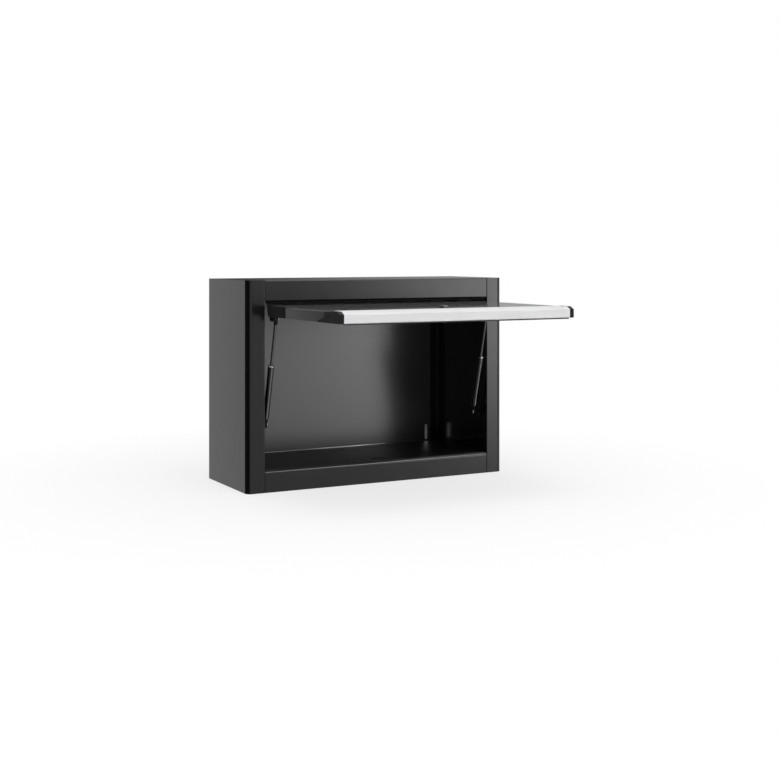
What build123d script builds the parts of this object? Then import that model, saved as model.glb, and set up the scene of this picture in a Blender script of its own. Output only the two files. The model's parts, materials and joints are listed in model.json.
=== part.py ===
from build123d import *
import os
from math import atan2, degrees, hypot, sqrt

# Wall tool cabinet with a flap door, shown open. Millimetres, +Z up, front towards -Y.
# The origin is the middle of the cabinet's base.

# Cabinet
WIDTH = 728.0
DEPTH = 265.0
HEIGHT = 517.0
SHEET = 1.2
STILE_WIDTH = 47.0
HEADER_HEIGHT = 52.0
SILL_HEIGHT = 55.0
CORNER_RADIUS = 14.0
SILL_RADIUS = 9.0
HEADER_RADIUS = 3.0
BEND_RADIUS = 2.4
REAR_FLANGE = 22.0
STILE_RETURN = 15.0
HEADER_SHELF = 28.0
HEADER_LIP = 14.0
HIDDEN_FLANGE = 14.0
LINER_LAP = 10.0
LINER_FLANGE = 23.0
SEAM = 0.4
SHEET_FIT = 0.2

# Wall fixing slots in the back panel
SLOT_WIDTH = 8.0
SLOT_LENGTH = 42.0
SLOT_EDGE = 83.0
SLOT_LOW = 80.0
SLOT_TOP_DROP = 75.0

# Piano hinge
KNUCKLE_DIAMETER = 7.0
HINGE_PIN_DIAMETER = 3.0
HINGE_PIN_CLEARANCE = 0.05
HINGE_SETBACK = 4.0
HINGE_GAP = 0.3
KNUCKLE_COUNT = 15
KNUCKLE_SPACE = 0.3
LEAF_SHEET = 1.0
LEAF_WIDTH = 23.0
HINGE_RIVETS = 7
RIVET_DIAMETER = 3.2
RIVET_HEAD_DIAMETER = 6.4
RIVET_HEAD_HEIGHT = 1.2
RIVET_CROWN_DIAMETER = 3.6
RIVET_TAIL_DIAMETER = 5.2
RIVET_TAIL_HEIGHT = 0.6

# Flap door
DOOR_SHEET = 1.0
DOOR_DEPTH = 26.0
DOOR_SIDE_GAP = 6.0
DOOR_FLOOR_GAP = 2.0
DOOR_DROP = 6.2
DOOR_BEND_RADIUS = 2.0
STIFFENER_DEPTH = 15.0
STIFFENER_WIDTH = 40.0
STIFFENER_FLANGE = 14.0
STIFFENER_INSET = 30.0

# Handle profile and its end caps
HANDLE_DEPTH = 42.0
HANDLE_WALL = 1.8
HANDLE_RISE = 1.0
HANDLE_BEVEL_RUN = 13.0
HANDLE_BEVEL_DROP = 6.5
HANDLE_RIDGE = 3.5
GROOVE_WIDTH = 19.0
GROOVE_DEPTH = 11.0
GROOVE_RADIUS = 4.0
SKIN_SLOT = 9.0
SKIN_SLOT_FIT = 0.05
HANDLE_EDGE_RADIUS = 2.0
HANDLE_LIP_RADIUS = 1.0
CAP_THICKNESS = 12.0
CAP_TAIL = 75.0
CAP_TAIL_THICKNESS = 2.5
CAP_NUB_LENGTH = 35.0
CAP_NUB_HEIGHT = 13.0
CAP_NUB_TIP = 2.0
CAP_EDGE_RADIUS = 1.5

# Lock
LOCK_SETBACK = 82.0
LOCK_BEZEL_DIAMETER = 18.0
LOCK_BEZEL_HEIGHT = 6.5
LOCK_BODY_DIAMETER = 16.0
LOCK_PLUG_DIAMETER = 11.0
LOCK_PLUG_CLEARANCE = 0.05
LOCK_TURN_GAP = 0.3
LOCK_NUT_ACROSS = 22.0
LOCK_NUT_HEIGHT = 5.0
KEY_SLOT_WIDTH = 1.8
KEY_SLOT_LENGTH = 6.5
KEY_SLOT_DEPTH = 8.0
TONGUE_CLEARANCE = 4.5
TONGUE_SHEET = 2.0
TONGUE_WIDTH = 16.0
TONGUE_ENGAGE = 8.0
TONGUE_SLOT_GAP = 1.5
TONGUE_SQUARE = 7.0
TONGUE_SCREW_DIAMETER = 4.0
TONGUE_SCREW_LENGTH = 10.0
TONGUE_SCREW_HEAD = 8.0
TONGUE_SCREW_HEAD_HEIGHT = 2.4

# Gas struts
STRUT_INSET = 11.0
STRUT_DOOR_REACH = 32.0
STRUT_DOOR_DROP = 35.0
STRUT_FOOT_SETBACK = 40.5
STRUT_FOOT_DROP = 301.0
CYLINDER_DIAMETER = 15.0
CYLINDER_WALL = 1.2
CYLINDER_LENGTH = 135.0
ROD_DIAMETER = 7.0
ROD_INSIDE = 30.0
GLAND_LENGTH = 9.0
GLAND_CLEARANCE = 0.05
PISTON_LENGTH = 8.0
PISTON_CLEARANCE = 0.08
BALL_DIAMETER = 10.0
BALL_LENGTH = 8.0
BALL_CHAMFER = 2.0
BALL_CLEARANCE = 0.08
SOCKET_DIAMETER = 14.0
SOCKET_WIDTH = 13.0
SOCKET_CHAMFER = 1.2
SOCKET_NECK_DIAMETER = 10.0
SOCKET_NECK_LENGTH = 16.0
STUD_DIAMETER = 6.0
STUD_MOUTH_GAP = 1.0
STUD_END_GAP = 0.3
BRACKET_SHEET = 2.0
BRACKET_WIDTH = 28.0
BRACKET_HEIGHT = 32.0
BRACKET_RADIUS = 5.0
STUD_PLATE_SHEET = 1.5
STUD_PLATE_WIDTH = 34.0
STUD_PLATE_MARGIN = 8.0

# Planes and places worked out from the sizes above
FRONT = -DEPTH / 2
BACK = DEPTH / 2
SIDE = WIDTH / 2
OPENING = SIDE - STILE_WIDTH
HEADER_Z = HEIGHT - HEADER_HEIGHT
FLOOR_Z = SILL_HEIGHT
INNER_BACK = BACK - 2 * SHEET
PANEL_SIDE = SIDE - SHEET - SHEET_FIT
LINER_FACE = OPENING + SHEET

KNUCKLE_RADIUS = KNUCKLE_DIAMETER / 2
AXIS_Y = FRONT + HINGE_SETBACK
AXIS_Z = HEADER_Z - HINGE_GAP - KNUCKLE_RADIUS
LEAF_START = KNUCKLE_RADIUS + HINGE_GAP

DOOR_SIDE = OPENING - DOOR_SIDE_GAP
DOOR_TOP = AXIS_Z - DOOR_DROP
DOOR_INNER = DOOR_TOP - DOOR_DEPTH
DOOR_REAR = AXIS_Y - LEAF_START
DOOR_REACH = AXIS_Z - FLOOR_Z - DOOR_FLOOR_GAP
DOOR_FRONT = AXIS_Y - DOOR_REACH
SKIN_FRONT = DOOR_FRONT + HANDLE_DEPTH
HANDLE_SIDE = DOOR_SIDE - CAP_THICKNESS
HANDLE_TOP = DOOR_TOP + HANDLE_RISE
HANDLE_REAR = SKIN_FRONT + SKIN_SLOT

LOCK_Y = DOOR_FRONT + LOCK_SETBACK
TONGUE_TOP = DOOR_INNER - TONGUE_CLEARANCE
TONGUE_BOTTOM = TONGUE_TOP - TONGUE_SHEET
TONGUE_LENGTH = LOCK_SETBACK + DOOR_FLOOR_GAP + TONGUE_ENGAGE
CLOSED_TONGUE_Y = AXIS_Y + AXIS_Z - TONGUE_TOP

STRUT_X = DOOR_SIDE - STRUT_INSET
FOOT_Y = FRONT + STRUT_FOOT_SETBACK
FOOT_Z = AXIS_Z - STRUT_FOOT_DROP
HEAD_Y = AXIS_Y - STRUT_DOOR_REACH
HEAD_Z = AXIS_Z - STRUT_DOOR_DROP
STRUT_LENGTH = hypot(HEAD_Y - FOOT_Y, HEAD_Z - FOOT_Z)
STRUT_TILT = degrees(atan2(FOOT_Y - HEAD_Y, HEAD_Z - FOOT_Z))


def block(x_span, y_span, z_span):
    """A box between two values on each axis."""
    size = [span[1] - span[0] for span in (x_span, y_span, z_span)]
    middle = [(span[1] + span[0]) / 2 for span in (x_span, y_span, z_span)]
    return Pos(*middle) * Box(*size)


def sheet_section(points, radii, thickness):
    """The section of a bent sheet, drawn along the middle of its thickness."""
    return trace(FilletPolyline(*points, radius=radii), thickness)


def across(section, half_width):
    """A section in the YZ plane made as wide as the cabinet or door needs."""
    return extrude(Plane.YZ * section, half_width, both=True)


def mirrored(part):
    """The right-hand twin of a left-hand part."""
    return mirror(part, Plane.YZ)


def inside_bend(outer_radius, thickness=SHEET):
    """The radius of a bend along the middle of the sheet."""
    return outer_radius - thickness / 2


def corner_plate(bottom_z):
    """A flat plate that fits inside the side panels, round at the two front corners."""
    y_span = (FRONT + SHEET + SHEET_FIT, BACK - SHEET - SHEET_FIT)
    plate = block((-PANEL_SIDE, PANEL_SIDE), y_span, (bottom_z, bottom_z + SHEET))
    front_corners = plate.edges().filter_by(Axis.Z).group_by(Axis.Y)[0]
    plate = fillet(front_corners, CORNER_RADIUS - SHEET)
    rear_corners = plate.edges().filter_by(Axis.Z).group_by(Axis.Y)[-1]
    return fillet(rear_corners, BEND_RADIUS - SHEET)


def side_panel():
    """Left outer wall with its round front corner, stile, stile return and rear flange."""
    stile_edge = -OPENING - SHEET / 2
    wall = -SIDE + SHEET / 2
    face = FRONT + SHEET / 2
    rear = BACK - SHEET / 2
    points = [
        (stile_edge, FRONT + STILE_RETURN),
        (stile_edge, face),
        (wall, face),
        (wall, rear),
        (-SIDE + REAR_FLANGE, rear),
    ]
    radii = [inside_bend(BEND_RADIUS), inside_bend(CORNER_RADIUS), inside_bend(BEND_RADIUS)]
    panel = extrude(sheet_section(points, radii, SHEET), HEIGHT)
    # The top and bottom panels cover the ends of the stile return.
    notch_x = (-OPENING - BEND_RADIUS - SEAM, -OPENING + SEAM)
    notch_y = (FRONT + SHEET + SHEET_FIT / 2, FRONT + STILE_RETURN + SEAM)
    for z_span in ((-SEAM, SHEET), (HEIGHT - SHEET, HEIGHT + SEAM)):
        panel -= block(notch_x, notch_y, z_span)
    return panel


def side_liner():
    """Left inside wall, lapped behind the stile return, with a flange on the back panel."""
    wall = -LINER_FACE - SHEET / 2
    rear = INNER_BACK - SHEET / 2
    points = [
        (wall, FRONT + STILE_RETURN - LINER_LAP),
        (wall, rear),
        (-LINER_FACE + LINER_FLANGE, rear),
    ]
    section = sheet_section(points, inside_bend(BEND_RADIUS), SHEET)
    liner = Pos(0, 0, FLOOR_Z) * extrude(section, HEIGHT - SHEET - FLOOR_Z)
    flange_x = (-LINER_FACE - SHEET - HIDDEN_FLANGE, -LINER_FACE - SHEET / 2)
    flange_y = (FRONT + STILE_RETURN + HIDDEN_FLANGE, INNER_BACK - HIDDEN_FLANGE)
    for z in (FLOOR_Z, HEIGHT - 2 * SHEET):
        liner += block(flange_x, flange_y, (z, z + SHEET))
    return liner


def top_panel():
    """Top sheet with the header folded down in front and flanges at the sides and rear."""
    header_side = OPENING - SEAM
    rear_side = SIDE - REAR_FLANGE - SEAM
    top = HEIGHT - SHEET / 2
    face = FRONT + SHEET / 2
    rear = BACK - SHEET / 2
    shelf = HEADER_Z + SHEET / 2
    shelf_end = FRONT + HEADER_SHELF - SHEET / 2
    header = sheet_section(
        [
            (FRONT + HEADER_SHELF, top),
            (face, top),
            (face, shelf),
            (shelf_end, shelf),
            (shelf_end, HEADER_Z + HEADER_LIP),
        ],
        [inside_bend(HEADER_RADIUS), inside_bend(HEADER_RADIUS), inside_bend(BEND_RADIUS)],
        SHEET,
    )
    rear_flange = sheet_section(
        [(BACK - REAR_FLANGE, top), (rear, top), (rear, HEIGHT - REAR_FLANGE)],
        inside_bend(BEND_RADIUS),
        SHEET,
    )
    plate = corner_plate(HEIGHT - SHEET)
    plate_z = (HEIGHT - 2 * SHEET, HEIGHT + SHEET)
    plate -= block((-header_side, header_side), (FRONT, FRONT + HEADER_SHELF - SHEET), plate_z)
    plate -= block((-rear_side, rear_side), (BACK - REAR_FLANGE + SHEET, BACK), plate_z)
    panel = plate + across(header, header_side) + across(rear_flange, rear_side)
    flange_y = (FRONT + STILE_RETURN + HIDDEN_FLANGE, BACK - REAR_FLANGE)
    flange_z = (HEIGHT - HIDDEN_FLANGE, HEIGHT - SHEET / 2)
    for x_span in ((-PANEL_SIDE, -PANEL_SIDE + SHEET), (PANEL_SIDE - SHEET, PANEL_SIDE)):
        panel += block(x_span, flange_y, flange_z)
    return panel


def floor_panel():
    """Floor sheet with the sill folded down in front, a rear flange and a slot for the lock's tongue."""
    top = FLOOR_Z - SHEET / 2
    face = FRONT + SHEET / 2
    rear = INNER_BACK - SHEET / 2
    section = sheet_section(
        [(rear, FLOOR_Z - HIDDEN_FLANGE), (rear, top), (face, top), (face, 0)],
        [inside_bend(BEND_RADIUS), inside_bend(SILL_RADIUS)],
        SHEET,
    )
    panel = across(section, OPENING - SEAM)
    wing_y = (FRONT + STILE_RETURN + SEAM, INNER_BACK - BEND_RADIUS)
    panel += block((-PANEL_SIDE, PANEL_SIDE), wing_y, (FLOOR_Z - SHEET, FLOOR_Z))
    # The slot is long enough for the tongue to swing down into it with the door closed.
    swing = sqrt(hypot(TONGUE_LENGTH, TONGUE_WIDTH / 2) ** 2 - (TONGUE_LENGTH - TONGUE_ENGAGE) ** 2)
    slot_x = (-TONGUE_WIDTH / 2 - TONGUE_SLOT_GAP, swing + TONGUE_SLOT_GAP)
    slot_y = (CLOSED_TONGUE_Y - TONGUE_SLOT_GAP, CLOSED_TONGUE_Y + TONGUE_SHEET + TONGUE_SLOT_GAP)
    return panel - block(slot_x, slot_y, (FLOOR_Z - 2 * SHEET, FLOOR_Z + SHEET))


def bottom_panel():
    """Shallow tray that closes the base, flanged up behind the sill and at the rear."""
    front_side = OPENING - 2 * SHEET
    rear_side = SIDE - REAR_FLANGE - SEAM
    base = SHEET / 2
    face = FRONT + SHEET + SHEET_FIT + SHEET / 2
    rear = BACK - SHEET / 2
    front_flange = sheet_section(
        [(face, HIDDEN_FLANGE), (face, base), (face + REAR_FLANGE, base)],
        inside_bend(BEND_RADIUS),
        SHEET,
    )
    rear_flange = sheet_section(
        [(rear - REAR_FLANGE, base), (rear, base), (rear, REAR_FLANGE)],
        inside_bend(BEND_RADIUS),
        SHEET,
    )
    plate = corner_plate(0)
    plate_z = (-SHEET, 2 * SHEET)
    plate -= block((-front_side, front_side), (FRONT, face + REAR_FLANGE - SHEET), plate_z)
    plate -= block((-rear_side, rear_side), (rear - REAR_FLANGE + SHEET, BACK), plate_z)
    return plate + across(front_flange, front_side) + across(rear_flange, rear_side)


def back_panel():
    """Flat back sheet, held in front of the rear flanges, with four upright fixing slots."""
    edge = BEND_RADIUS + SHEET_FIT
    panel = block((-SIDE + edge, SIDE - edge), (INNER_BACK, BACK - SHEET), (edge, HEIGHT - edge))
    slot = extrude(Plane.XZ * SlotOverall(SLOT_LENGTH, SLOT_WIDTH, rotation=90), 2 * SHEET, both=True)
    for x in (-SIDE + SLOT_EDGE, SIDE - SLOT_EDGE):
        for z in (SLOT_LOW, HEIGHT - SLOT_TOP_DROP):
            panel -= Pos(x, INNER_BACK, z) * slot
    return panel


def hinge_leaf(first_knuckle):
    """One hinge leaf, drawn with its pin at the origin and its sheet behind and above the pin.

    Every second knuckle belongs to this leaf, and tabs join those knuckles to the sheet.
    """
    pitch = 2 * DOOR_SIDE / KNUCKLE_COUNT
    leaf_z = (LEAF_START - LEAF_SHEET, LEAF_START)
    leaf = block((-DOOR_SIDE, DOOR_SIDE), (LEAF_START, LEAF_WIDTH), leaf_z)
    for index in range(first_knuckle, KNUCKLE_COUNT, 2):
        start = -DOOR_SIDE + index * pitch + KNUCKLE_SPACE / 2
        end = start + pitch - KNUCKLE_SPACE
        leaf += Pos(start, 0, 0) * extrude(Plane.YZ * Circle(KNUCKLE_RADIUS), end - start)
        leaf += block((start, end), (0, LEAF_START + LEAF_SHEET), leaf_z)
    bore = HINGE_PIN_DIAMETER / 2 + HINGE_PIN_CLEARANCE
    return leaf - across(Circle(bore), SIDE)


def hinge_rivet_places():
    """Places of the rivets along the hinge."""
    spacing = 2 * DOOR_SIDE / HINGE_RIVETS
    return [-DOOR_SIDE + (index + 0.5) * spacing for index in range(HINGE_RIVETS)]


def hinge_rivet(grip):
    """A rivet along +Z through the leaf and the sheet above it, with a head at each end."""
    shank = RIVET_DIAMETER / 2
    tail = RIVET_TAIL_DIAMETER / 2
    tail_end = grip + RIVET_TAIL_HEIGHT
    outline = Polyline(
        (0, -RIVET_HEAD_HEIGHT),
        (RIVET_CROWN_DIAMETER / 2, -RIVET_HEAD_HEIGHT),
        (RIVET_HEAD_DIAMETER / 2, 0),
        (shank, 0),
        (shank, grip),
        (tail, grip),
        (tail, tail_end),
        (0, tail_end),
        close=True,
    )
    return revolve(Plane.XZ * make_face(outline), Axis.Z)


def hinge_rivet_holes(grip):
    """Cutters for the rivet holes, drawn like the leaf with the pin at the origin."""
    drill = Cylinder(RIVET_DIAMETER / 2, 4 * grip)
    return [Pos(x, (LEAF_START + LEAF_WIDTH) / 2, LEAF_START) * drill for x in hinge_rivet_places()]


def hinge_rivets(grip):
    """All rivets of one leaf, drawn like the leaf with the pin at the origin."""
    rivet = hinge_rivet(grip)
    rivet_y = (LEAF_START + LEAF_WIDTH) / 2
    places = hinge_rivet_places()
    return Compound([Pos(x, rivet_y, LEAF_START - LEAF_SHEET) * rivet for x in places])


# The frame leaf lies under the header. The door leaf is the same leaf, turned to hang against
# the door's end.
FRAME_LEAF = Pos(0, AXIS_Y, AXIS_Z)
DOOR_LEAF = FRAME_LEAF * Rot(0, 180, 0) * Rot(90, 0, 0)


def cap_tail(top, thickness, room):
    """Tail of the left handle cap along the door's edge, ending in a low pointed nub.

    With some room added all round it is the cutter for the door's side flange.
    """
    end = DOOR_FRONT + CAP_TAIL + room
    nub_end = end + CAP_NUB_LENGTH
    bottom = DOOR_INNER - room
    outline = Polyline(
        (SKIN_FRONT - HANDLE_WALL, bottom),
        (SKIN_FRONT - HANDLE_WALL, top),
        (end, top),
        (end, DOOR_INNER + CAP_NUB_HEIGHT + room),
        (nub_end, DOOR_INNER + CAP_NUB_TIP + room),
        (nub_end, bottom),
        close=True,
    )
    return Pos(-DOOR_SIDE, 0, 0) * extrude(Plane.YZ * make_face(outline), thickness)


def door_skin():
    """Door pan: outer face with flanges down both sides and at the hinge end."""
    x_span = (-DOOR_SIDE, DOOR_SIDE)
    solid = block(x_span, (SKIN_FRONT, DOOR_REAR), (DOOR_INNER, DOOR_TOP))
    top_edges = solid.faces().sort_by(Axis.Z)[-1].edges()
    front_edge = top_edges.sort_by(Axis.Y)[0]
    bends = top_edges.filter_by(lambda edge: edge != front_edge)
    bends += solid.edges().filter_by(Axis.Z).group_by(Axis.Y)[-1]
    solid = fillet(bends, DOOR_BEND_RADIUS)
    open_faces = [solid.faces().sort_by(Axis.Z)[0], solid.faces().sort_by(Axis.Y)[0]]
    pan = offset(solid, amount=-DOOR_SHEET, openings=open_faces)
    # The tails of the handle caps take the place of the side flanges next to the handle.
    left_room = cap_tail(DOOR_TOP - DOOR_SHEET, CAP_TAIL_THICKNESS + SEAM, SEAM)
    pan -= left_room
    pan -= mirrored(left_room)
    lock_hole = Cylinder(LOCK_BODY_DIAMETER / 2 + SHEET_FIT, 4 * DOOR_SHEET)
    return pan - Pos(0, LOCK_Y, DOOR_TOP) * lock_hole


def door_stiffener():
    """Channel across the inside of the door, flanged against the skin."""
    middle = (SKIN_FRONT + DOOR_REAR) / 2
    top = DOOR_TOP - DOOR_SHEET - DOOR_SHEET / 2
    bottom = top - STIFFENER_DEPTH
    half = STIFFENER_WIDTH / 2
    foot = half + STIFFENER_FLANGE
    section = sheet_section(
        [
            (middle - foot, top),
            (middle - half, top),
            (middle - half, bottom),
            (middle + half, bottom),
            (middle + half, top),
            (middle + foot, top),
        ],
        inside_bend(DOOR_BEND_RADIUS, DOOR_SHEET),
        DOOR_SHEET,
    )
    return across(section, DOOR_SIDE - STIFFENER_INSET)


def handle_outline():
    """Corners of the handle's front, shared by the profile and its end caps."""
    return [
        (DOOR_FRONT, DOOR_INNER),
        (DOOR_FRONT, HANDLE_TOP - HANDLE_BEVEL_DROP),
        (DOOR_FRONT + HANDLE_BEVEL_RUN, HANDLE_TOP),
    ]


def handle_profile():
    """Aluminium extrusion: bevelled front, finger groove behind a ridge, slot for the skin's edge."""
    ridge = DOOR_FRONT + HANDLE_BEVEL_RUN + HANDLE_RIDGE
    groove_end = ridge + GROOVE_WIDTH
    groove_floor = HANDLE_TOP - GROOVE_DEPTH
    slot_top = DOOR_TOP + SKIN_SLOT_FIT
    slot_bottom = DOOR_TOP - DOOR_SHEET - SKIN_SLOT_FIT
    slot_end = SKIN_FRONT - SKIN_SLOT_FIT
    points = handle_outline() + [
        (ridge, HANDLE_TOP),
        (ridge, groove_floor),
        (groove_end, groove_floor),
        (groove_end, HANDLE_TOP),
        (HANDLE_REAR, HANDLE_TOP),
        (HANDLE_REAR, slot_top),
        (slot_end, slot_top),
        (slot_end, slot_bottom),
        (HANDLE_REAR, slot_bottom),
        (HANDLE_REAR, slot_bottom - HANDLE_WALL),
        (SKIN_FRONT, slot_bottom - HANDLE_WALL),
        (SKIN_FRONT, DOOR_INNER),
    ]
    edge = HANDLE_EDGE_RADIUS
    lip = HANDLE_LIP_RADIUS
    radii = [edge, edge, edge, lip, GROOVE_RADIUS, GROOVE_RADIUS, lip, 0, 0, 0, 0, 0, 0, 0, 0]
    outside = make_face(FilletPolyline(*points, radius=radii, close=True))
    room_front = DOOR_FRONT + HANDLE_WALL
    room_bottom = DOOR_INNER + HANDLE_WALL
    room_top = groove_floor - HANDLE_WALL
    room_rear = SKIN_FRONT - HANDLE_WALL
    shoulder = HANDLE_TOP - HANDLE_BEVEL_DROP - HANDLE_WALL / 2
    ridge_room = ridge - HANDLE_WALL
    ridge_top = HANDLE_TOP - 2 * HANDLE_WALL
    room = make_face(
        Polyline(
            (room_front, room_bottom),
            (room_front, shoulder),
            (ridge_room, ridge_top),
            (ridge_room, room_top),
            (room_rear, room_top),
            (room_rear, room_bottom),
            close=True,
        )
    )
    return across(outside - room, HANDLE_SIDE)


def handle_end_cap():
    """Left end cap: closes the profile's end and runs on as a tail along the door's edge."""
    points = handle_outline() + [
        (HANDLE_REAR, HANDLE_TOP),
        (HANDLE_REAR, DOOR_TOP + SKIN_SLOT_FIT),
        (SKIN_FRONT - SKIN_SLOT_FIT, DOOR_TOP + SKIN_SLOT_FIT),
        (SKIN_FRONT - SKIN_SLOT_FIT, DOOR_INNER),
    ]
    edge = HANDLE_EDGE_RADIUS
    head_section = make_face(FilletPolyline(*points, radius=[edge, edge, edge, 0, 0, 0, 0], close=True))
    head = Pos(-DOOR_SIDE, 0, 0) * extrude(Plane.YZ * head_section, CAP_THICKNESS)
    outer_face = head.faces().sort_by(Axis.X)[0]
    head = fillet(outer_face.edges().filter_by(GeomType.LINE).group_by(Axis.Y)[0], CAP_EDGE_RADIUS)
    return head + cap_tail(DOOR_TOP - DOOR_SHEET - SKIN_SLOT_FIT, CAP_TAIL_THICKNESS, 0)


def lock_body():
    """Chromed lock housing: a bezel on the skin and a barrel through it."""
    barrel_bottom = TONGUE_TOP + LOCK_TURN_GAP
    bezel = extrude(Circle(LOCK_BEZEL_DIAMETER / 2), LOCK_BEZEL_HEIGHT)
    bezel = chamfer(bezel.edges().group_by(Axis.Z)[-1], LOCK_BEZEL_HEIGHT / 8)
    barrel_length = DOOR_TOP - barrel_bottom
    barrel = extrude(Circle(LOCK_BODY_DIAMETER / 2), -barrel_length)
    bore = Cylinder(LOCK_PLUG_DIAMETER / 2 + LOCK_PLUG_CLEARANCE, 4 * barrel_length)
    return Pos(0, LOCK_Y, DOOR_TOP) * (bezel + barrel - bore)


def lock_nut():
    """Hexagon nut that clamps the lock against the inside of the skin."""
    section = RegularPolygon(LOCK_NUT_ACROSS / 2, 6, major_radius=False) - Circle(LOCK_BODY_DIAMETER / 2)
    return Pos(0, LOCK_Y, DOOR_TOP - DOOR_SHEET) * extrude(section, -LOCK_NUT_HEIGHT)


def lock_plug():
    """Turning core of the lock, with the key slot on top and a square end for the tongue."""
    top = DOOR_TOP + LOCK_BEZEL_HEIGHT - LOCK_TURN_GAP
    core = extrude(Circle(LOCK_PLUG_DIAMETER / 2), top - TONGUE_TOP)
    square = Pos(0, 0, -TONGUE_SHEET) * extrude(Rectangle(TONGUE_SQUARE, TONGUE_SQUARE), TONGUE_SHEET)
    plug = Pos(0, LOCK_Y, TONGUE_TOP) * (core + square)
    half_slot = (-KEY_SLOT_WIDTH / 2, KEY_SLOT_WIDTH / 2)
    slot_y = (LOCK_Y - KEY_SLOT_LENGTH / 2, LOCK_Y + KEY_SLOT_LENGTH / 2)
    plug -= block(half_slot, slot_y, (top - KEY_SLOT_DEPTH, top + SEAM))
    screw_hole = extrude(Circle(TONGUE_SCREW_DIAMETER / 2), TONGUE_SCREW_LENGTH)
    return plug - Pos(0, LOCK_Y, TONGUE_BOTTOM) * screw_hole


def lock_tongue():
    """Locking tongue. Unlocked it points sideways, and locked it points down into the floor's slot."""
    blade = Rectangle(TONGUE_LENGTH, TONGUE_WIDTH, align=(Align.MIN, Align.CENTER))
    blade += Circle(TONGUE_WIDTH / 2)
    blade = fillet(blade.vertices().group_by(Axis.X)[-1], TONGUE_WIDTH / 4)
    blade -= Rectangle(TONGUE_SQUARE, TONGUE_SQUARE)
    return Pos(0, LOCK_Y, TONGUE_BOTTOM) * extrude(blade, TONGUE_SHEET)


def tongue_screw():
    """Pan-head screw that holds the tongue on the plug."""
    down = (Align.CENTER, Align.CENTER, Align.MAX)
    head = Cylinder(TONGUE_SCREW_HEAD / 2, TONGUE_SCREW_HEAD_HEIGHT, align=down)
    head = chamfer(head.edges().group_by(Axis.Z)[0], TONGUE_SCREW_HEAD_HEIGHT / 2)
    shank = extrude(Circle(TONGUE_SCREW_DIAMETER / 2), TONGUE_SCREW_LENGTH)
    return Pos(0, LOCK_Y, TONGUE_BOTTOM) * (head + shank)


# The struts are drawn upright over their lower ball and then tilted into place.
CYLINDER_BOTTOM = SOCKET_NECK_LENGTH
CYLINDER_TOP = CYLINDER_BOTTOM + CYLINDER_LENGTH
ROD_TOP = STRUT_LENGTH - SOCKET_NECK_LENGTH
PISTON_BOTTOM = CYLINDER_TOP - GLAND_LENGTH - ROD_INSIDE
CYLINDER_BORE = CYLINDER_DIAMETER / 2 - CYLINDER_WALL


def disc(radius, low, high):
    """A round bar along Z between two heights."""
    return Pos(0, 0, low) * extrude(Circle(radius), high - low)


def strut_cylinder():
    """Pressure tube, closed and bevelled at the bottom."""
    tube = disc(CYLINDER_DIAMETER / 2, CYLINDER_BOTTOM, CYLINDER_TOP)
    tube = chamfer(tube.edges().group_by(Axis.Z)[0], CYLINDER_WALL)
    return tube - disc(CYLINDER_BORE, CYLINDER_BOTTOM + 2 * CYLINDER_WALL, CYLINDER_TOP)


def strut_gland():
    """Guide ring that closes the top of the tube round the rod."""
    ring = disc(CYLINDER_BORE, CYLINDER_TOP - GLAND_LENGTH, CYLINDER_TOP)
    return ring - disc(ROD_DIAMETER / 2 + GLAND_CLEARANCE, CYLINDER_BOTTOM, CYLINDER_TOP)


def strut_piston():
    """Piston on the lower end of the rod."""
    return disc(CYLINDER_BORE - PISTON_CLEARANCE, PISTON_BOTTOM, PISTON_BOTTOM + PISTON_LENGTH)


def strut_rod():
    """Rod from the piston to the upper socket."""
    return disc(ROD_DIAMETER / 2, PISTON_BOTTOM + PISTON_LENGTH, ROD_TOP)


def socket_blank(ball_z, neck_end):
    """A closed ball socket: a round head across the strut and a neck along it."""
    head = extrude(Plane.YZ * Circle(SOCKET_DIAMETER / 2), SOCKET_WIDTH / 2, both=True)
    head = chamfer(head.edges(), SOCKET_CHAMFER)
    low, high = sorted((ball_z, neck_end))
    return Pos(0, 0, ball_z) * head + disc(SOCKET_NECK_DIAMETER / 2, low, high)


def strut_lower_socket():
    """Lower socket, hollowed for the ball end and open towards the side wall."""
    ball_room = across(Circle(BALL_DIAMETER / 2 + BALL_CLEARANCE), BALL_LENGTH / 2 + BALL_CLEARANCE)
    mouth = extrude(Plane.YZ * Circle(STUD_DIAMETER / 2 + STUD_MOUTH_GAP), -SOCKET_WIDTH)
    return socket_blank(0, CYLINDER_BOTTOM) - ball_room - mouth


def strut_upper_socket():
    """Upper socket, left solid: it stands just clear of the stud on the door."""
    return socket_blank(STRUT_LENGTH, ROD_TOP)


def strut_bracket():
    """Left lower bracket on the side liner: a plate and a stud with a ball end, drawn as a barrel."""
    foot = Pos(-LINER_FACE, FOOT_Y, FOOT_Z)
    outline = fillet(Rectangle(BRACKET_WIDTH, BRACKET_HEIGHT).vertices(), BRACKET_RADIUS)
    plate = foot * extrude(Plane.YZ * outline, BRACKET_SHEET)
    stud = foot * extrude(Plane.YZ * Circle(STUD_DIAMETER / 2), LINER_FACE - STRUT_X)
    ball = across(Circle(BALL_DIAMETER / 2), BALL_LENGTH / 2)
    ball = chamfer(ball.edges(), BALL_CHAMFER)
    return plate + stud + Pos(-STRUT_X, FOOT_Y, FOOT_Z) * ball


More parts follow.
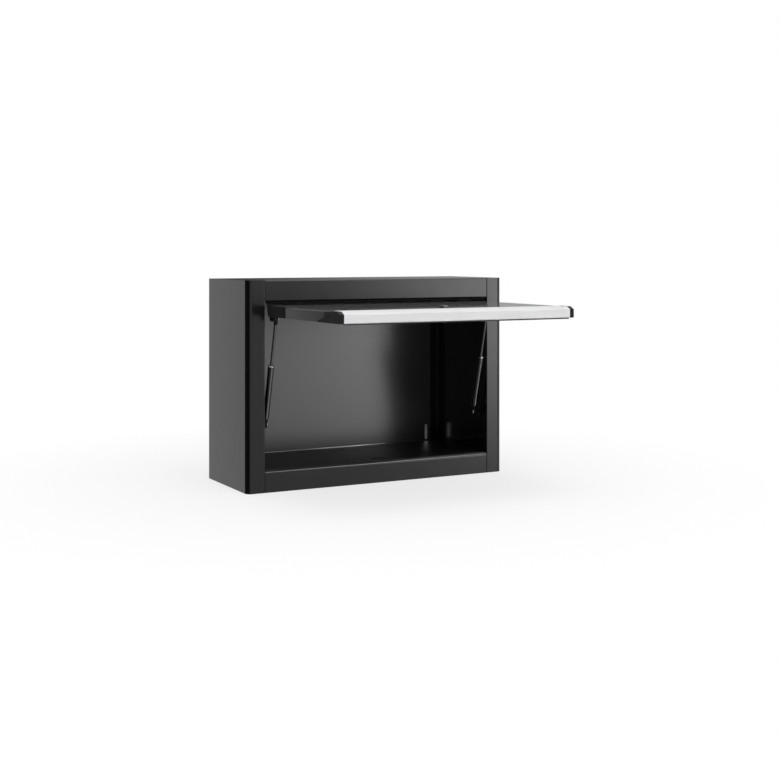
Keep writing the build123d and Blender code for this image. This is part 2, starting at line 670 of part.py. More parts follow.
def door_stud_plate():
    """Left upper plate on the door's side flange, with a stud that ends at the socket's face."""
    flange_face = -DOOR_SIDE + DOOR_SHEET
    plate_end = flange_face + STUD_PLATE_SHEET
    stud_end = -STRUT_X - SOCKET_WIDTH / 2 - STUD_END_GAP
    top = DOOR_TOP - DOOR_BEND_RADIUS - STUD_PLATE_MARGIN
    bottom = HEAD_Z - STUD_PLATE_MARGIN
    outline = Rectangle(STUD_PLATE_WIDTH, top - bottom)
    outline = fillet(outline.vertices(), BRACKET_RADIUS)
    place = Pos(flange_face, HEAD_Y, (top + bottom) / 2)
    plate = place * extrude(Plane.YZ * outline, STUD_PLATE_SHEET)
    stud = extrude(Plane.YZ * Circle(STUD_DIAMETER / 2), stud_end - plate_end)
    return plate + Pos(plate_end, HEAD_Y, HEAD_Z) * stud


LEFT_STRUT = Pos(-STRUT_X, FOOT_Y, FOOT_Z) * Rot(STRUT_TILT, 0, 0)


rivet_grip_frame = LEAF_SHEET + SHEET
rivet_grip_door = LEAF_SHEET + DOOR_SHEET

top = top_panel()
for hole in hinge_rivet_holes(rivet_grip_frame):
    top -= FRAME_LEAF * hole
frame_leaf = hinge_leaf(0)
for hole in hinge_rivet_holes(rivet_grip_frame):
    frame_leaf -= hole

skin = door_skin()
for hole in hinge_rivet_holes(rivet_grip_door):
    skin -= DOOR_LEAF * hole
door_leaf = hinge_leaf(1)
for hole in hinge_rivet_holes(rivet_grip_door):
    door_leaf -= hole

parts = {
    "left_side_panel": side_panel(),
    "left_side_liner": side_liner(),
    "top_panel": top,
    "floor_panel": floor_panel(),
    "bottom_panel": bottom_panel(),
    "back_panel": back_panel(),
    "hinge_leaf_frame": FRAME_LEAF * frame_leaf,
    "hinge_leaf_door": DOOR_LEAF * door_leaf,
    "hinge_pin": FRAME_LEAF * across(Circle(HINGE_PIN_DIAMETER / 2), DOOR_SIDE),
    "hinge_frame_rivets": FRAME_LEAF * hinge_rivets(rivet_grip_frame),
    "hinge_door_rivets": DOOR_LEAF * hinge_rivets(rivet_grip_door),
    "left_strut_bracket": strut_bracket(),
    "door_skin": skin,
    "door_stiffener": door_stiffener(),
    "handle_profile": handle_profile(),
    "left_handle_cap": handle_end_cap(),
    "left_door_stud_plate": door_stud_plate(),
    "lock_body": lock_body(),
    "lock_nut": lock_nut(),
    "lock_plug": lock_plug(),
    "lock_tongue": lock_tongue(),
    "tongue_screw": tongue_screw(),
    "left_strut_cylinder": LEFT_STRUT * strut_cylinder(),
    "left_strut_gland": LEFT_STRUT * strut_gland(),
    "left_strut_lower_socket": LEFT_STRUT * strut_lower_socket(),
    "left_strut_rod": LEFT_STRUT * strut_rod(),
    "left_strut_piston": LEFT_STRUT * strut_piston(),
    "left_strut_upper_socket": LEFT_STRUT * strut_upper_socket(),
}
for name in [name for name in parts if name.startswith("left_")]:
    parts["right_" + name.removeprefix("left_")] = mirrored(parts[name])

os.makedirs("parts", exist_ok=True)
for name, part in parts.items():
    export_step(part, f"parts/{name}.step")

closed_head_y = AXIS_Y + STRUT_DOOR_DROP
closed_head_z = AXIS_Z - STRUT_DOOR_REACH
closed_length = hypot(closed_head_y - FOOT_Y, closed_head_z - FOOT_Z)
closed_tilt = degrees(atan2(FOOT_Y - closed_head_y, closed_head_z - FOOT_Z))
print("hinge axis", AXIS_Y, AXIS_Z)
print("lock axis", LOCK_Y)
print("strut foot", STRUT_X, FOOT_Y, FOOT_Z)
print("strut tilt open, closed", STRUT_TILT, closed_tilt)
print("strut length open, closed", STRUT_LENGTH, closed_length)
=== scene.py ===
import json
import math

import bmesh
import bpy
from mathutils import Matrix, Vector


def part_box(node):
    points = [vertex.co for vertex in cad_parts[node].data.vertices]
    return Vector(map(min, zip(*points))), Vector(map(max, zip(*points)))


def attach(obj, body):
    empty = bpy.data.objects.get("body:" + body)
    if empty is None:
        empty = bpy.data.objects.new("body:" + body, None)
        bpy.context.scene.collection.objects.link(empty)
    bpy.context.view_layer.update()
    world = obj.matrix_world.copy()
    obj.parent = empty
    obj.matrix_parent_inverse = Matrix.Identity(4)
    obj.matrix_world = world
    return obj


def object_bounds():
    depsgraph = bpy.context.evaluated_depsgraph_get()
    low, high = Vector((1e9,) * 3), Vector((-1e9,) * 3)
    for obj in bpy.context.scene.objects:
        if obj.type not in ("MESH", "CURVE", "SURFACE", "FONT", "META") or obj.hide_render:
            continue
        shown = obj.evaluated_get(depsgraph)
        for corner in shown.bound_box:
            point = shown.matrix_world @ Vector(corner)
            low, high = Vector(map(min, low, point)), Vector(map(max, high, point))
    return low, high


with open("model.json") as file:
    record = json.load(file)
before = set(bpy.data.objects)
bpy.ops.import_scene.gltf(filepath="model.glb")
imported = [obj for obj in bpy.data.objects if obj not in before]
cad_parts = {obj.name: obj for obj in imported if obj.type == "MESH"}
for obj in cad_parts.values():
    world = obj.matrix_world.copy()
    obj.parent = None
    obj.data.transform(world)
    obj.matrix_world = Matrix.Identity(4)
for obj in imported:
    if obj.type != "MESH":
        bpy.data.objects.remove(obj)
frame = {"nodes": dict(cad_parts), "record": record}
cad_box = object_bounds()

# Camera, fitted to the cabinet's corners in the photograph. Lengths in metres, pixels of a 780 x 781 picture.
CAMERA_PLACE = (-1.5526, -3.0989, 0.585)
CAMERA_YAW = 28.03
FOCAL_PIXELS = 1317.0
PICTURE_HEIGHT = 781.0
HORIZON_PIXEL = 252.25
SENSOR = 36.0

# Studio: an unlit room with lit walls, as the gloss paint mirrors it. Each wall has a direction, the cosines
# where its light starts and is full, and a level.
FILL_STRENGTH = 0.55
ROOM_LEVEL = 0.02
LIT_WALLS = (
    ((0.545, -0.839, 0.0), 0.39, 0.5, 0.74),
    ((-0.087, 0.996, 0.0), 0.9205, 0.961, 0.83),
    ((0.866, 0.5, 0.0), 0.75, 0.9, 0.4),
)
CEILING = ((0.0, 0.0, 1.0), 0.25, 0.6, 1.5)
GROUND = ((0.0, 0.0, -1.0), 0.2, 0.5, 0.35)
SIDE_GLOW = ((0.6018, -0.7986, 0.0175), 0.977, 1.008, 6.6)
HIGH_GLOW = ((0.45, -0.72, 0.528), 0.985, 1.0, 10.0)
LOW_GLOW = ((0.377, -0.770, -0.514), 0.994, 0.999, 11.0)

# Soft lights: place, the point that each faces, width, height and power.
RIGHT_SOFTBOX = ((2.35, -3.0, 0.85), (0.0, -0.1, 0.35), 3.0, 2.4, 130.0)
TOP_SOFTBOX = ((-0.2, -0.8, 2.8), (0.0, -0.1, 0.3), 2.2, 2.2, 110.0)

# Studio floor: how white the camera sees it close by, and the distances over which it runs out to white.
FLOOR_SIZE = 9.0
FLOOR_COLOR = (0.93, 0.93, 0.93)
FLOOR_GAP = 0.0005
NEAR_WHITE = 0.75
SHADOW_NEAR = 0.35
SHADOW_FAR = 1.2

# Sheet behind the slots that glows a grey of painted shade: its gap, how far it stays inside the back, and
# how much brighter it glows in reflections, as painted reflection.
WALL_GAP = 0.002
WALL_INSET = 0.04
WALL_PAINTED_REFLECTION = 12.0

# Picking and joining: how near counts as touching, how near corners merge, how straight a face looks one way.
TOUCH = 0.00001
MERGE = 0.000001
FACING = 0.9
SMOOTH_ANGLE = 35.0
ROUNDING_STEPS = 4

# Gas struts as the solids have them: foot, tilt and the heights along the strut.
STRUT_FOOT = (0.300, -0.0920, 0.1602)
STRUT_TILT = 14.44097
STRUT_LENGTH = 0.27468
TUBE_TOP = 0.151
TUBE_RADIUS = 0.0075
SOCKET_RADIUS = 0.007

# Rolled end of a strut tube
LIP_RADIUS = TUBE_RADIUS - 0.0001
LIP_HOLE = 0.0043
LIP_HEIGHT = 0.0026
LIP_ROUNDING = LIP_HEIGHT * 0.7

# Spring-wire clip on a ball socket
CLIP_WIRE = 0.0006
CLIP_INBOARD = 0.0036
CLIP_GAP = 40.0
CLIP_END_ARC = 0.12
CLIP_TAIL = 0.0022

# Button-head screws of the strut plates, and how thick those plates are
SCREW_RADIUS = 0.0029
SCREW_HEIGHT = 0.0018
SCREW_ROUNDING = SCREW_HEIGHT * 0.75
SCREW_SOCKET = 0.0011
SCREW_SOCKET_DEPTH = SCREW_HEIGHT * 0.55
SCREW_SPACING = 0.0105
BRACKET_THICKNESS = 0.002
STUD_PLATE_THICKNESS = 0.0015

# Rubber ring round the lock's bezel
LOCK_PLACE = (0.0, -0.4507, 0.4550)
BEZEL_RADIUS = 0.009
LOCK_RING_HOLE = BEZEL_RADIUS + 0.00005
LOCK_RING_RADIUS = 0.0106
LOCK_RING_HEIGHT = 0.0009
LOCK_RING_ROUNDING = LOCK_RING_HEIGHT * 0.7

# Plated strip between floor and back
CORNER_STRIP_RADIUS = 0.0014
CORNER_STRIP_GAP = 0.00005
CORNER_STRIP_SHORTER = 0.002
CORNER_STRIP_END_INSET = CORNER_STRIP_RADIUS * 0.25
CORNER_STRIP_END_DEPTH = CORNER_STRIP_RADIUS * 0.4

# Rubber strip under the handle
HANDLE_STRIP_WIDTH = 0.006
HANDLE_STRIP_HEIGHT = 0.0026
HANDLE_STRIP_SETBACK = 0.0018
HANDLE_STRIP_SHORTER = 0.003
HANDLE_STRIP_ROUNDING = HANDLE_STRIP_HEIGHT * 0.4

# Powder coat: its black, its clouds and orange peel in lumps per metre, the peel's depth, and its roughness
PAINT_DARK = (0.003, 0.003, 0.0032)
PAINT_MIDDLE = (0.004, 0.004, 0.0042)
PAINT_PALE = (0.005, 0.005, 0.0052)
PAINT_CLOUDS = 9.0
PEEL_LUMPS = 520.0
PEEL_DEPTH = 0.00004
PEEL_STRENGTH = 0.3
PAINT_ROUGHNESS = (0.152, 0.178)

# Floor sheet: how far up a face looks where it is rubbed dull, and where its bend gets a paler black as
# painted light
RUBBED_START = 0.5
RUBBED_FULL = 0.75
BEND_START = 0.5
BEND_PAINTED_LIGHT = (0.7, 0.99)
BEND_END = 0.999

# The middle range of a noise pattern, which the finishes stretch
PATTERN_LOW = 0.3
PATTERN_HIGH = 0.7


# Material building blocks


def new_material(name, color, roughness, metallic=0.0):
    """A material with one principled shader and Object coordinates to hang patterns on."""
    material = bpy.data.materials.new(name)
    material.use_nodes = True
    tree = material.node_tree
    shader = tree.nodes["Principled BSDF"]
    shader.inputs["Base Color"].default_value = (*color, 1.0)
    shader.inputs["Roughness"].default_value = roughness
    shader.inputs["Metallic"].default_value = metallic
    place = tree.nodes.new("ShaderNodeTexCoord")
    return material, tree, shader, place.outputs["Object"]


def stretched(tree, place, scale):
    """Coordinates scaled along each axis, so that a pattern can run along one of them."""
    mapping = tree.nodes.new("ShaderNodeMapping")
    mapping.inputs["Scale"].default_value = scale
    tree.links.new(place, mapping.inputs["Vector"])
    return mapping.outputs["Vector"]


def noise(tree, place, scale, detail=2.0):
    """Noise from 0 to 1, with a given number of lumps per metre."""
    texture = tree.nodes.new("ShaderNodeTexNoise")
    texture.inputs["Scale"].default_value = scale
    texture.inputs["Detail"].default_value = detail
    tree.links.new(place, texture.inputs["Vector"])
    return texture.outputs["Fac"]


def spread(tree, value, low, high):
    """A pattern's middle range stretched between two values."""
    span = tree.nodes.new("ShaderNodeMapRange")
    span.inputs["From Min"].default_value = PATTERN_LOW
    span.inputs["From Max"].default_value = PATTERN_HIGH
    span.inputs["To Min"].default_value = low
    span.inputs["To Max"].default_value = high
    tree.links.new(value, span.inputs["Value"])
    return span.outputs["Result"]


def tint(tree, value, first, second):
    """A colour between two, by a pattern."""
    ramp = tree.nodes.new("ShaderNodeValToRGB")
    ramp.color_ramp.elements[0].position = PATTERN_LOW
    ramp.color_ramp.elements[1].position = PATTERN_HIGH
    ramp.color_ramp.elements[0].color = (*first, 1.0)
    ramp.color_ramp.elements[1].color = (*second, 1.0)
    tree.links.new(value, ramp.inputs["Fac"])
    return ramp.outputs["Color"]


def relief(tree, shader, height, distance, strength):
    """Bump from a pattern, added to any bump that is there already."""
    bump = tree.nodes.new("ShaderNodeBump")
    bump.inputs["Distance"].default_value = distance
    bump.inputs["Strength"].default_value = strength
    tree.links.new(height, bump.inputs["Height"])
    normal = shader.inputs["Normal"]
    if normal.is_linked:
        tree.links.new(normal.links[0].from_socket, bump.inputs["Normal"])
    tree.links.new(bump.outputs["Normal"], normal)


def combine(tree, operation, first, second):
    """Two levels put together by a Math node."""
    node = tree.nodes.new("ShaderNodeMath")
    node.operation = operation
    tree.links.new(first, node.inputs[0])
    tree.links.new(second, node.inputs[1])
    return node.outputs[0]


# Finishes


def powder_coat(name, ior, shade):
    """Gloss black powder coat with a fine orange peel. The shade scales its black; below 1 it makes a darker
    copy of the black, as painted shade.
    """
    dark = tuple(shade * part for part in PAINT_DARK)
    pale = tuple(shade * part for part in PAINT_PALE)
    material, tree, shader, place = new_material(name, pale, 0.16)
    cloud = noise(tree, place, PAINT_CLOUDS, 3.0)
    peel = noise(tree, place, PEEL_LUMPS, 1.0)
    tree.links.new(tint(tree, cloud, dark, pale), shader.inputs["Base Color"])
    tree.links.new(spread(tree, noise(tree, place, 40.0, 4.0), *PAINT_ROUGHNESS), shader.inputs["Roughness"])
    shader.inputs["IOR"].default_value = ior
    relief(tree, shader, peel, PEEL_DEPTH, PEEL_STRENGTH)
    return material


def gloss_black():
    """Smooth gloss black paint of the strut tubes."""
    material, tree, shader, place = new_material("strut_gloss_black", (0.003, 0.003, 0.0033), 0.07)
    cloud = noise(tree, place, 50.0, 3.0)
    black = tint(tree, cloud, (0.002, 0.002, 0.0022), (0.004, 0.004, 0.0042))
    tree.links.new(black, shader.inputs["Base Color"])
    tree.links.new(spread(tree, noise(tree, place, 60.0, 3.0), 0.05, 0.1), shader.inputs["Roughness"])
    shader.inputs["IOR"].default_value = 1.5
    return material


def satin_aluminium():
    """Anodised aluminium with fine drawing lines along the extrusion."""
    material, tree, shader, place = new_material("satin_aluminium", (0.62, 0.62, 0.625), 0.58, 1.0)
    lines = noise(tree, stretched(tree, place, (6.0, 1400.0, 1400.0)), 1.0, 2.0)
    cloud = noise(tree, place, 14.0, 3.0)
    tree.links.new(tint(tree, cloud, (0.6, 0.6, 0.606), (0.64, 0.64, 0.645)), shader.inputs["Base Color"])
    tree.links.new(spread(tree, lines, 0.54, 0.64), shader.inputs["Roughness"])
    relief(tree, shader, lines, 0.00002, 0.25)
    return material


def moulded_black():
    """Black moulded plastic with a fine grain."""
    material, tree, shader, place = new_material("moulded_black", (0.006, 0.006, 0.0065), 0.5)
    grain = noise(tree, place, 1600.0, 2.0)
    tree.links.new(spread(tree, noise(tree, place, 80.0, 3.0), 0.44, 0.58), shader.inputs["Roughness"])
    cloud = noise(tree, place, 30.0, 2.0)
    black = tint(tree, cloud, (0.005, 0.005, 0.0055), (0.008, 0.008, 0.0085))
    tree.links.new(black, shader.inputs["Base Color"])
    shader.inputs["Specular IOR Level"].default_value = 0.14
    relief(tree, shader, grain, 0.00006, 0.4)
    return material


def nitrided_steel():
    """Black nitrided rod, ground round and lightly polished."""
    material, tree, shader, place = new_material("nitrided_steel", (0.065, 0.065, 0.07), 0.2, 1.0)
    rings = noise(tree, stretched(tree, place, (40.0, 40.0, 2600.0)), 1.0, 2.0)
    cloud = noise(tree, place, 70.0, 3.0)
    black = tint(tree, cloud, (0.055, 0.055, 0.059), (0.075, 0.075, 0.08))
    tree.links.new(black, shader.inputs["Base Color"])
    tree.links.new(spread(tree, rings, 0.15, 0.24), shader.inputs["Roughness"])
    return material


def zinc_plate():
    """Zinc-plated steel with a faint mottled passivation."""
    material, tree, shader, place = new_material("zinc_plate", (0.58, 0.59, 0.60), 0.34, 1.0)
    mottle = noise(tree, place, 120.0, 4.0)
    tree.links.new(tint(tree, mottle, (0.52, 0.53, 0.55), (0.64, 0.645, 0.64)), shader.inputs["Base Color"])
    tree.links.new(spread(tree, mottle, 0.28, 0.42), shader.inputs["Roughness"])
    relief(tree, shader, noise(tree, place, 1500.0, 2.0), 0.00003, 0.25)
    return material


def polished_chrome():
    """Bright chrome with the faintest polishing haze."""
    material, tree, shader, place = new_material("polished_chrome", (0.82, 0.83, 0.85), 0.08, 1.0)
    haze = noise(tree, place, 90.0, 4.0)
    tree.links.new(spread(tree, haze, 0.05, 0.13), shader.inputs["Roughness"])
    tree.links.new(tint(tree, haze, (0.79, 0.80, 0.82), (0.85, 0.86, 0.88)), shader.inputs["Base Color"])
    return material


def smoked_chrome():
    """Dark chrome of the lock's bezel."""
    material, tree, shader, place = new_material("smoked_chrome", (0.17, 0.17, 0.175), 0.1, 1.0)
    haze = noise(tree, place, 120.0, 4.0)
    tree.links.new(spread(tree, haze, 0.07, 0.14), shader.inputs["Roughness"])
    tree.links.new(tint(tree, haze, (0.15, 0.15, 0.155), (0.19, 0.19, 0.195)), shader.inputs["Base Color"])
    return material


def matt_rubber():
    """Matt black rubber."""
    material, tree, shader, place = new_material("matt_rubber", (0.014, 0.014, 0.014), 0.75)
    dust = noise(tree, place, 250.0, 4.0)
    black = tint(tree, dust, (0.011, 0.011, 0.011), (0.022, 0.022, 0.021))
    tree.links.new(black, shader.inputs["Base Color"])
    tree.links.new(spread(tree, dust, 0.66, 0.85), shader.inputs["Roughness"])
    relief(tree, shader, dust, 0.0001, 0.3)
    return material


def door_coat():
    """Smooth black coat of the flap, flatter than on the body, and with a lighter black than the body's as
    painted light.
    """
    material, tree, shader, place = new_material("door_coat", (0.013, 0.013, 0.0133), 0.05)
    # Painted light: the flap's black is lighter than the body's, so that its top and sides read brighter.
    cloud = noise(tree, place, 7.0, 3.0)
    black = tint(tree, cloud, (0.012, 0.012, 0.0123), (0.014, 0.014, 0.0143))
    tree.links.new(black, shader.inputs["Base Color"])
    tree.links.new(spread(tree, noise(tree, place, 30.0, 4.0), 0.04, 0.06), shader.inputs["Roughness"])
    shader.inputs["IOR"].default_value = 1.33
    shader.inputs["Sheen Weight"].default_value = 0.08
    shader.inputs["Sheen Roughness"].default_value = 0.3
    relief(tree, shader, noise(tree, place, 420.0, 1.0), 0.000004, 0.1)
    return material


def back_coat():
    """Coat of the back panel: a fuller gloss with a softer image."""
    material, tree, shader, place = new_material("back_coat", PAINT_MIDDLE, 0.27)
    cloud = noise(tree, place, PAINT_CLOUDS, 3.0)
    tree.links.new(tint(tree, cloud, PAINT_DARK, PAINT_PALE), shader.inputs["Base Color"])
    tree.links.new(spread(tree, noise(tree, place, 4.0, 1.0), 0.262, 0.272), shader.inputs["Roughness"])
    shader.inputs["IOR"].default_value = 1.62
    shader.inputs["Coat Weight"].default_value = 1.0
    shader.inputs["Coat Roughness"].default_value = 0.25
    relief(tree, shader, noise(tree, place, PEEL_LUMPS, 1.0), 0.000004, 0.1)
    return material


def floor_coat():
    """Coat of the floor sheet: gloss on the sill, a paler black on its bend as painted light, rubbed dull on
    top where tools slide.
    """
    material, tree, shader, place = new_material("floor_coat", PAINT_MIDDLE, 0.16)
    shader.inputs["IOR"].default_value = 1.45
    relief(tree, shader, noise(tree, place, PEEL_LUMPS, 1.0), PEEL_DEPTH, PEEL_STRENGTH)
    faces = tree.nodes.new("ShaderNodeNewGeometry")
    split = tree.nodes.new("ShaderNodeSeparateXYZ")
    tree.links.new(faces.outputs["Normal"], split.inputs[0])
    rubbed = tree.nodes.new("ShaderNodeMapRange")
    rubbed.interpolation_type = "SMOOTHSTEP"
    rubbed.inputs["From Min"].default_value = RUBBED_START
    rubbed.inputs["From Max"].default_value = RUBBED_FULL
    tree.links.new(split.outputs["Z"], rubbed.inputs["Value"])
    blend = tree.nodes.new("ShaderNodeMix")
    tree.links.new(rubbed.outputs["Result"], blend.inputs["Factor"])
    tree.links.new(spread(tree, noise(tree, place, 40.0, 4.0), *PAINT_ROUGHNESS), blend.inputs["A"])
    tree.links.new(spread(tree, noise(tree, place, 25.0, 4.0), 0.41, 0.47), blend.inputs["B"])
    tree.links.new(blend.outputs["Result"], shader.inputs["Roughness"])
    # Painted light: a paler black on the upper part of the sill's bend, over the dark reflection behind its
    # highlight.
    bend = tree.nodes.new("ShaderNodeValToRGB")
    bend.color_ramp.elements[0].position = BEND_START
    bend.color_ramp.elements[0].color = (0.0, 0.0, 0.0, 1.0)
    bend.color_ramp.elements[1].position = BEND_END
    bend.color_ramp.elements[1].color = (0.0, 0.0, 0.0, 1.0)
    for facing_up in BEND_PAINTED_LIGHT:
        bend.color_ramp.elements.new(facing_up).color = (1.0, 1.0, 1.0, 1.0)
    tree.links.new(split.outputs["Z"], bend.inputs["Fac"])
    painted_bend_light = tree.nodes.new("ShaderNodeMix")
    painted_bend_light.data_type = "RGBA"
    tree.links.new(bend.outputs["Color"], painted_bend_light.inputs["Factor"])
    cloud = noise(tree, place, PAINT_CLOUDS, 3.0)
    tree.links.new(tint(tree, cloud, PAINT_DARK, PAINT_PALE), painted_bend_light.inputs[6])
    tree.links.new(tint(tree, cloud, (0.034, 0.034, 0.034), (0.044, 0.044, 0.044)), painted_bend_light.inputs[7])
    tree.links.new(painted_bend_light.outputs[2], shader.inputs["Base Color"])
    return material


def hinge_black():
    """Thin matt black coat of the piano hinge and its rivets."""
    material, tree, shader, place = new_material("hinge_black", (0.004, 0.004, 0.004), 0.45)
    wear = noise(tree, place, 160.0, 3.0)
    black = tint(tree, wear, (0.003, 0.003, 0.003), (0.006, 0.006, 0.006))
    tree.links.new(black, shader.inputs["Base Color"])
    tree.links.new(spread(tree, wear, 0.38, 0.52), shader.inputs["Roughness"])
    shader.inputs["Specular IOR Level"].default_value = 0.05
    relief(tree, shader, noise(tree, place, 1300.0, 2.0), 0.00003, 0.3)
    return material


FINISHES = {
    "black_paint": powder_coat("black_powder_coat", 1.45, 1.0),
    "dark_steel": nitrided_steel(),
    "aluminium": satin_aluminium(),
    "black_plastic": moulded_black(),
    "zinc_steel": zinc_plate(),
    "chrome": polished_chrome(),
}
RUBBER = matt_rubber()
NODE_FINISHES = {
    # The liners get a darker copy of the body's black, painted shade inside the cabinet.
    "left_side_liner": powder_coat("liner_coat", 1.42, 0.2),
    "back_panel": back_coat(),
    "door_skin": door_coat(),
    "floor_panel": floor_coat(),
    "left_strut_cylinder": gloss_black(),
    "lock_body": smoked_chrome(),
}
NODE_FINISHES["right_strut_cylinder"] = NODE_FINISHES["left_strut_cylinder"]
NODE_FINISHES["right_side_liner"] = NODE_FINISHES["left_side_liner"]
HINGE_FINISH = hinge_black()
for node in ("hinge_leaf_frame", "hinge_leaf_door", "hinge_frame_rivets", "hinge_door_rivets"):
    NODE_FINISHES[node] = HINGE_FINISH


def dress_nodes():
    """Gives every CAD node a finish of its own, or else the finish of its record slot."""
    for subpart in frame["record"]["subparts"]:
        node = subpart["node"]
        finish = NODE_FINISHES.get(node, FINISHES[subpart["material_slot"]])
        mesh = frame["nodes"][node].data
        mesh.materials.clear()
        mesh.materials.append(finish)


# Pieces that dress the solids


def start_piece(name):
    """The primitive just added, named, in edit mode with nothing selected."""
    piece = bpy.context.object
    piece.name = name
    bpy.ops.object.mode_set(mode="EDIT")
    bpy.ops.mesh.select_all(action="DESELECT")
    return piece


def pick_faces(piece, wanted):
    """Selects the faces whose middle and normal pass a test, and nothing else."""
    bpy.ops.mesh.select_mode(type="FACE")
    bpy.ops.mesh.select_all(action="DESELECT")
    mesh = bmesh.from_edit_mesh(piece.data)
    for face in mesh.faces:
        face.select_set(wanted(face.calc_center_median(), face.normal))
    bmesh.update_edit_mesh(piece.data)


def pick_edges(piece, wanted):
    """Selects the edges whose two ends pass a test, and nothing else."""
    bpy.ops.mesh.select_mode(type="EDGE")
    bpy.ops.mesh.select_all(action="DESELECT")
    mesh = bmesh.from_edit_mesh(piece.data)
    for edge in mesh.edges:
        edge.select_set(all(wanted(end.co) for end in edge.verts))
    bmesh.update_edit_mesh(piece.data)


def end_piece(piece, place=None):
    """Back to object mode, moved to its place with that kept in the mesh, and smooth over its bends."""
    bpy.ops.mesh.select_all(action="SELECT")
    bpy.ops.mesh.remove_doubles(threshold=MERGE)
    bpy.ops.mesh.normals_make_consistent(inside=False)
    bpy.ops.object.mode_set(mode="OBJECT")
    if place is not None:
        piece.matrix_world = place
    bpy.ops.object.transform_apply(location=True, rotation=True, scale=True)
    bpy.ops.object.shade_smooth_by_angle(angle=math.radians(SMOOTH_ANGLE))
    return piece


def copy_piece(piece, name, place):
    """A copy with its own mesh, moved to a place that is kept in the mesh."""
    bpy.ops.object.select_all(action="DESELECT")
    copy = piece.copy()
    copy.data = piece.data.copy()
    copy.name = name
    bpy.context.scene.collection.objects.link(copy)
    copy.select_set(True)
    bpy.context.view_layer.objects.active = copy
    copy.matrix_world = place
    bpy.ops.object.transform_apply(location=True, rotation=True, scale=True)
    return copy


def drop_pattern(piece):
    """Removes a pattern piece once its copies are made."""
    bpy.data.objects.remove(piece, do_unlink=True)


def finish_piece(piece, finish, body):
    """Material and the body that carries the piece."""
    piece.data.materials.clear()
    piece.data.materials.append(finish)
    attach(piece, body)


def add_ring(name, radius, hole, height, rounding):
    """A flat ring over the origin with its upper outer edge rounded over."""
    bpy.ops.object.select_all(action="DESELECT")
    bpy.ops.mesh.primitive_cylinder_add(vertices=48, radius=radius, depth=height,
                                        location=(0.0, 0.0, height / 2))
    bpy.ops.object.transform_apply(location=True, rotation=True, scale=True)
    ring = start_piece(name)
    pick_faces(ring, lambda middle, normal: abs(normal.z) > FACING)
    bpy.ops.mesh.inset(thickness=radius - hole)
    bpy.ops.mesh.bridge_edge_loops()
    pick_edges(ring, lambda end: math.hypot(end.x, end.y) > radius - TOUCH and end.z > height - TOUCH)
    bpy.ops.mesh.bevel(offset=rounding, segments=ROUNDING_STEPS, affect="EDGES")
    return ring


def strut_place(side, inboard, along, turn):
    """A place on a strut: in from its axis, up from its foot and turned about the cabinet's width."""
    foot = Matrix.Translation((side * STRUT_FOOT[0], STRUT_FOOT[1], STRUT_FOOT[2]))
    tilt = Matrix.Rotation(math.radians(STRUT_TILT), 4, "X")
    offset = Matrix.Translation((-side * inboard, 0.0, along))
    return foot @ tilt @ offset @ turn


def add_tube_lips():
    """Rolled-in upper ends of the strut tubes, round the rods."""
    lip = end_piece(add_ring("tube_lip_pattern", LIP_RADIUS, LIP_HOLE, LIP_HEIGHT, LIP_ROUNDING))
    for name, side in (("left", -1), ("right", 1)):
        place = strut_place(side, 0.0, TUBE_TOP, Matrix.Identity(4))
        copy = copy_piece(lip, f"{name}_tube_lip", place)
        finish_piece(copy, FINISHES["zinc_steel"], f"{name}_strut_tube")
    drop_pattern(lip)


def add_socket_clips():
    """Open spring-wire clips that hold the ball sockets on their studs."""
    bpy.ops.object.select_all(action="DESELECT")
    bpy.ops.mesh.primitive_torus_add(major_radius=SOCKET_RADIUS + CLIP_WIRE / 2, minor_radius=CLIP_WIRE,
                                     major_segments=54, minor_segments=10)
    clip = start_piece("socket_clip_pattern")
    gap = math.radians(CLIP_GAP)
    pick_faces(clip, lambda middle, normal: abs(math.atan2(middle.y, middle.x)) < gap)
    bpy.ops.mesh.delete(type="FACE")
    bpy.ops.mesh.select_all(action="SELECT")
    bpy.ops.mesh.fill_holes(sides=0)
    outwards = Vector((math.sin(gap), -math.cos(gap), 0.0))
    pick_faces(clip, lambda middle, normal: middle.y > 0.0 and normal.dot(outwards) > FACING
               and abs(math.atan2(middle.y, middle.x) - gap) < CLIP_END_ARC)
    tail = (math.cos(gap) * CLIP_TAIL, math.sin(gap) * CLIP_TAIL, 0.0)
    bpy.ops.mesh.extrude_region_move(TRANSFORM_OT_translate={"value": tail})
    end_piece(clip)
    upright = Matrix.Rotation(math.radians(-90), 4, "Y")
    over = Matrix.Rotation(math.radians(180), 4, "X")
    for name, side in (("left", -1), ("right", 1)):
        lower = copy_piece(clip, f"{name}_lower_clip", strut_place(side, CLIP_INBOARD, 0.0, upright))
        finish_piece(lower, FINISHES["chrome"], f"{name}_strut_tube")
        upper = copy_piece(clip, f"{name}_upper_clip",
                           strut_place(side, CLIP_INBOARD, STRUT_LENGTH, over @ upright))
        finish_piece(upper, FINISHES["chrome"], f"{name}_strut_piston_rod")
    drop_pattern(clip)


